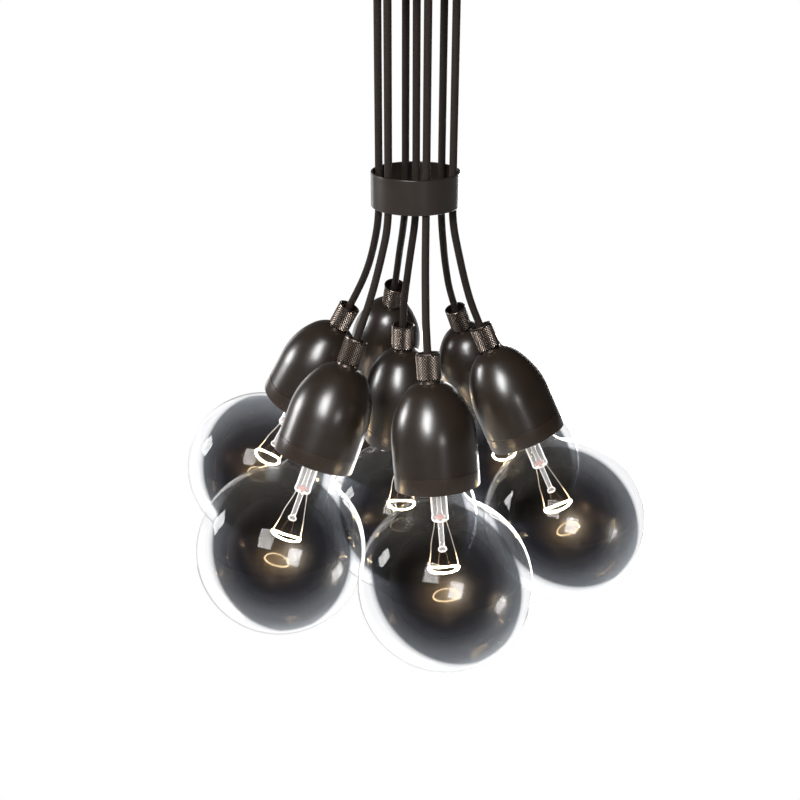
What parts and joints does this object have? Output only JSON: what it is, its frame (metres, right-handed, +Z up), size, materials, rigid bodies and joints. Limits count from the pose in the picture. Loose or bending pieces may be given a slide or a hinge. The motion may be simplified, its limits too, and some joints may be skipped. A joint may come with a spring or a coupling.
{
  "type": "cluster pendant light",
  "caption": "Ceiling light: a cluster of clear globe lamps in domed metal cups, hung on fabric cords that a loose band gathers below a round cover.",
  "frame": {"origin": "middle of the strap's pair of slots, in the plane of the ceiling", "axes": "+Z up, out of the ceiling's face of the strap; the slots lie along X; the picture looks along +Y, with +X to its right"},
  "size_m": [0.3696, 0.3663, 0.519],
  "materials": {
    "bronze": "satin dark bronze",
    "pewter": "knurled, dark pewter",
    "cord": "fine braid",
    "phenolic": "moulded, matt",
    "nylon": "moulded, natural",
    "zinc": "zinc plated",
    "brass": "satin",
    "clear_glass": "clear",
    "filament_mount": "clear glass with thin metal wires"
  },
  "bodies": {
    "ceiling_mount": {"ceiling_cover": "bronze", "mounting_strap": "zinc", "cover_studs": "zinc", "cap_nuts": "bronze", "ground_screw": "brass", "terminal_block": "nylon", "ceiling_cord_grips": "phenolic", "cord_grip_nuts": "phenolic", "middle_cord": "cord", "middle_cord_grip": "pewter", "middle_cup": "bronze", "middle_lampholder": "phenolic"},
    "band": {"gather_band": "bronze"},
    "front_pendant": {"front_cord": "cord", "front_cord_grip": "pewter", "front_cup": "bronze", "front_lampholder": "phenolic"},
    "right_pendant": {"right_cord": "cord", "right_cord_grip": "pewter", "right_cup": "bronze", "right_lampholder": "phenolic"},
    "back_right_pendant": {"back_right_cord": "cord", "back_right_cord_grip": "pewter", "back_right_cup": "bronze", "back_right_lampholder": "phenolic"},
    "back_pendant": {"back_cord": "cord", "back_cord_grip": "pewter", "back_cup": "bronze", "back_lampholder": "phenolic"},
    "back_left_pendant": {"back_left_cord": "cord", "back_left_cord_grip": "pewter", "back_left_cup": "bronze", "back_left_lampholder": "phenolic"},
    "left_pendant": {"left_cord": "cord", "left_cord_grip": "pewter", "left_cup": "bronze", "left_lampholder": "phenolic"},
    "front_lamp": {"front_glass": "clear_glass", "front_lamp_cap": "brass", "front_filament_mount": "filament_mount"},
    "right_lamp": {"right_glass": "clear_glass", "right_lamp_cap": "brass", "right_filament_mount": "filament_mount"},
    "back_right_lamp": {"back_right_glass": "clear_glass", "back_right_lamp_cap": "brass", "back_right_filament_mount": "filament_mount"},
    "back_lamp": {"back_glass": "clear_glass", "back_lamp_cap": "brass", "back_filament_mount": "filament_mount"},
    "back_left_lamp": {"back_left_glass": "clear_glass", "back_left_lamp_cap": "brass", "back_left_filament_mount": "filament_mount"},
    "left_lamp": {"left_glass": "clear_glass", "left_lamp_cap": "brass", "left_filament_mount": "filament_mount"},
    "middle_lamp": {"middle_glass": "clear_glass", "middle_lamp_cap": "brass", "middle_filament_mount": "filament_mount"}
  },
  "joints": [
    {"name": "band_slide", "type": "slide", "parent": "ceiling_mount", "child": "band", "axis": [0, 0, 1], "range_m": [0, 0.115]},
    {"name": "front_swing", "type": "hinge", "parent": "ceiling_mount", "child": "front_pendant", "pos_m": [0.00699, -0.02608, -0.204], "axis": [-0.9659, -0.2588, 0], "range_deg": [0, 30], "deforming": ["front_cord"]},
    {"name": "right_swing", "type": "hinge", "parent": "ceiling_mount", "child": "right_pendant", "pos_m": [0.02608, -0.00699, -0.204], "axis": [-0.2588, -0.9659, 0], "range_deg": [0, 30], "deforming": ["right_cord"]},
    {"name": "back_right_swing", "type": "hinge", "parent": "ceiling_mount", "child": "back_right_pendant", "pos_m": [0.01909, 0.01909, -0.204], "axis": [0.7071, -0.7071, 0], "range_deg": [0, 30], "deforming": ["back_right_cord"]},
    {"name": "back_swing", "type": "hinge", "parent": "ceiling_mount", "child": "back_pendant", "pos_m": [-0.00699, 0.02608, -0.204], "axis": [0.9659, 0.2588, 0], "range_deg": [0, 30], "deforming": ["back_cord"]},
    {"name": "back_left_swing", "type": "hinge", "parent": "ceiling_mount", "child": "back_left_pendant", "pos_m": [-0.02608, 0.00699, -0.204], "axis": [0.2588, 0.9659, 0], "range_deg": [0, 30], "deforming": ["back_left_cord"]},
    {"name": "left_swing", "type": "hinge", "parent": "ceiling_mount", "child": "left_pendant", "pos_m": [-0.01909, -0.01909, -0.204], "axis": [-0.7071, 0.7071, 0], "range_deg": [0, 30], "deforming": ["left_cord"]},
    {"name": "front_lamp_out", "type": "slide", "parent": "front_pendant", "child": "front_lamp", "axis": [0.08, -0.2462, -0.9659], "range_m": [0, 0.05]},
    {"name": "right_lamp_out", "type": "slide", "parent": "right_pendant", "child": "right_lamp", "axis": [0.408, -0.199, -0.891], "range_m": [0, 0.05]},
    {"name": "back_right_lamp_out", "type": "slide", "parent": "back_right_pendant", "child": "back_right_lamp", "axis": [0.3134, 0.1737, -0.9336], "range_m": [0, 0.05]},
    {"name": "back_lamp_out", "type": "slide", "parent": "back_pendant", "child": "back_lamp", "axis": [-0.1158, 0.3563, -0.9272], "range_m": [0, 0.05]},
    {"name": "back_left_lamp_out", "type": "slide", "parent": "back_left_pendant", "child": "back_left_lamp", "axis": [-0.4649, 0.0653, -0.8829], "range_m": [0, 0.05]},
    {"name": "left_lamp_out", "type": "slide", "parent": "left_pendant", "child": "left_lamp", "axis": [-0.3441, -0.2454, -0.9063], "range_m": [0, 0.05]},
    {"name": "middle_lamp_out", "type": "slide", "parent": "ceiling_mount", "child": "middle_lamp", "axis": [-0.0077, -0.025, -0.9997], "range_m": [0, 0.05]}
  ]
}
